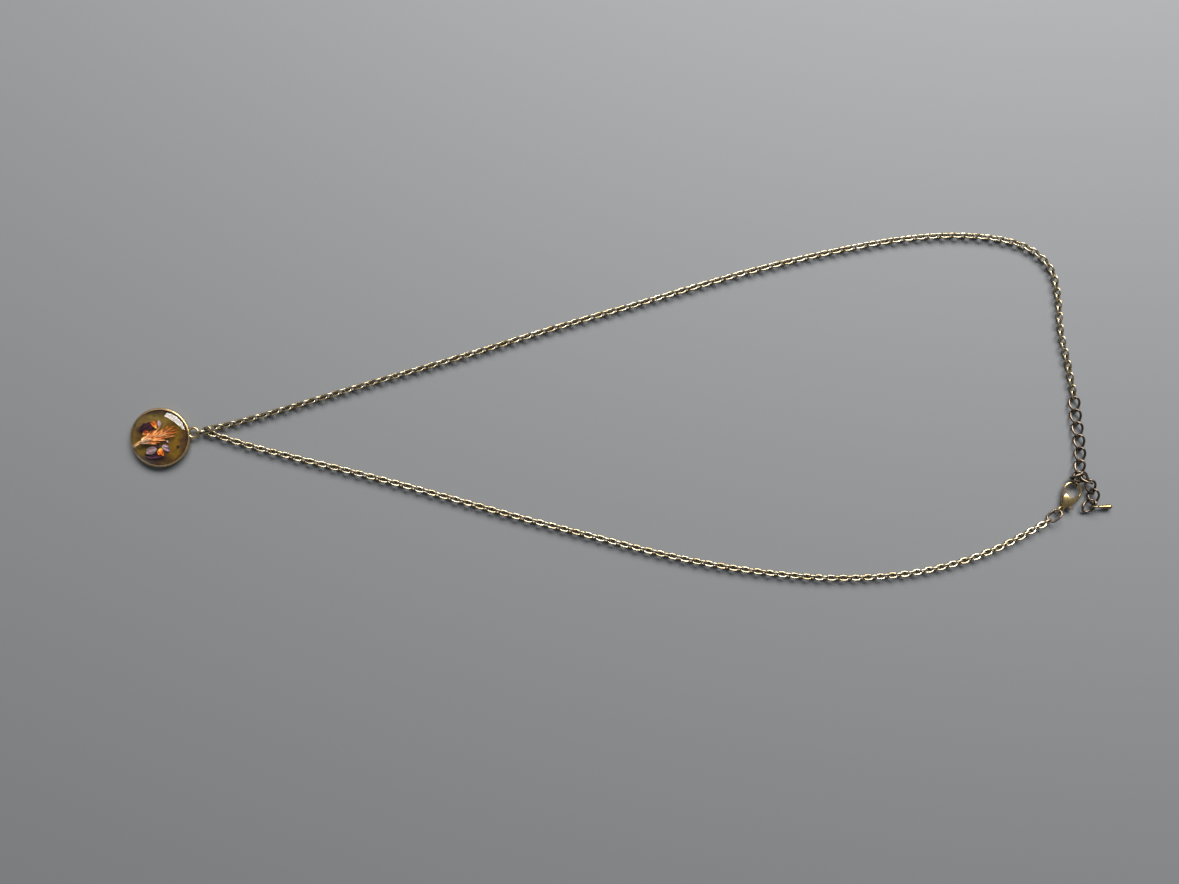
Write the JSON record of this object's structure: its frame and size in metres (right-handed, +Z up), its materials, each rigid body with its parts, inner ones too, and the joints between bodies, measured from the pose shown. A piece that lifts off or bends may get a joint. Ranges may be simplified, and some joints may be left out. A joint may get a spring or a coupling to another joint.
{
  "type": "flower pendant necklace",
  "caption": "Flower pendant necklace: dried flowers under a clear resin dome in an antique brass tray, on a fine bronze chain with a lobster clasp and an extender.",
  "frame": {"origin": "centre of the pendant's flat back, on the plane that the necklace lies on", "axes": "+Z up from the plane, +X along the laid-out necklace from the pendant towards the clasp, +Y across it"},
  "size_m": [0.3282, 0.1172, 0.0041],
  "materials": {
    "antique_brass": "satin",
    "antique_bronze": "satin",
    "tinted_resin": "gloss",
    "clear_resin": "gloss",
    "orange_flower": "matte",
    "lilac_petal": "matte",
    "dark_petal": "matte"
  },
  "bodies": {
    "necklace": {"bezel": "antique_brass", "resin_base": "tinted_resin", "resin_dome": "clear_resin", "sprig": "orange_flower", "bud_top": "orange_flower", "bud_left": "orange_flower", "bud_low": "orange_flower", "petal_dark_left": "dark_petal", "petal_dark_high": "dark_petal", "petal_dark_low": "dark_petal", "petal_lilac_top": "lilac_petal", "petal_lilac_low": "lilac_petal", "petal_violet": "lilac_petal", "pendant_link": "antique_bronze", "first_link_long": "antique_bronze", "first_link_short": "antique_bronze", "chain_long_strand": "antique_bronze", "chain_short_strand": "antique_bronze", "end_link": "antique_bronze", "clasp_body": "antique_bronze", "charm": "antique_bronze", "extender_link_01": "antique_bronze", "extender_link_02": "antique_bronze", "extender_link_03": "antique_bronze", "extender_link_04": "antique_bronze", "extender_link_05": "antique_bronze", "extender_link_06": "antique_bronze", "extender_link_07": "antique_bronze", "extender_link_08": "antique_bronze", "extender_link_09": "antique_bronze", "extender_link_10": "antique_bronze", "extender_link_11": "antique_bronze", "extender_link_12": "antique_bronze"},
    "lever": {"clasp_lever": "antique_bronze"}
  },
  "joints": [
    {"name": "clasp_lever_hinge", "type": "hinge", "parent": "necklace", "child": "lever", "pos_m": [0.30189, -0.02153, 0.0014], "axis": [0, 0, -1], "range_deg": [0, 25], "stiffness_Nm_per_rad": 0.002}
  ]
}
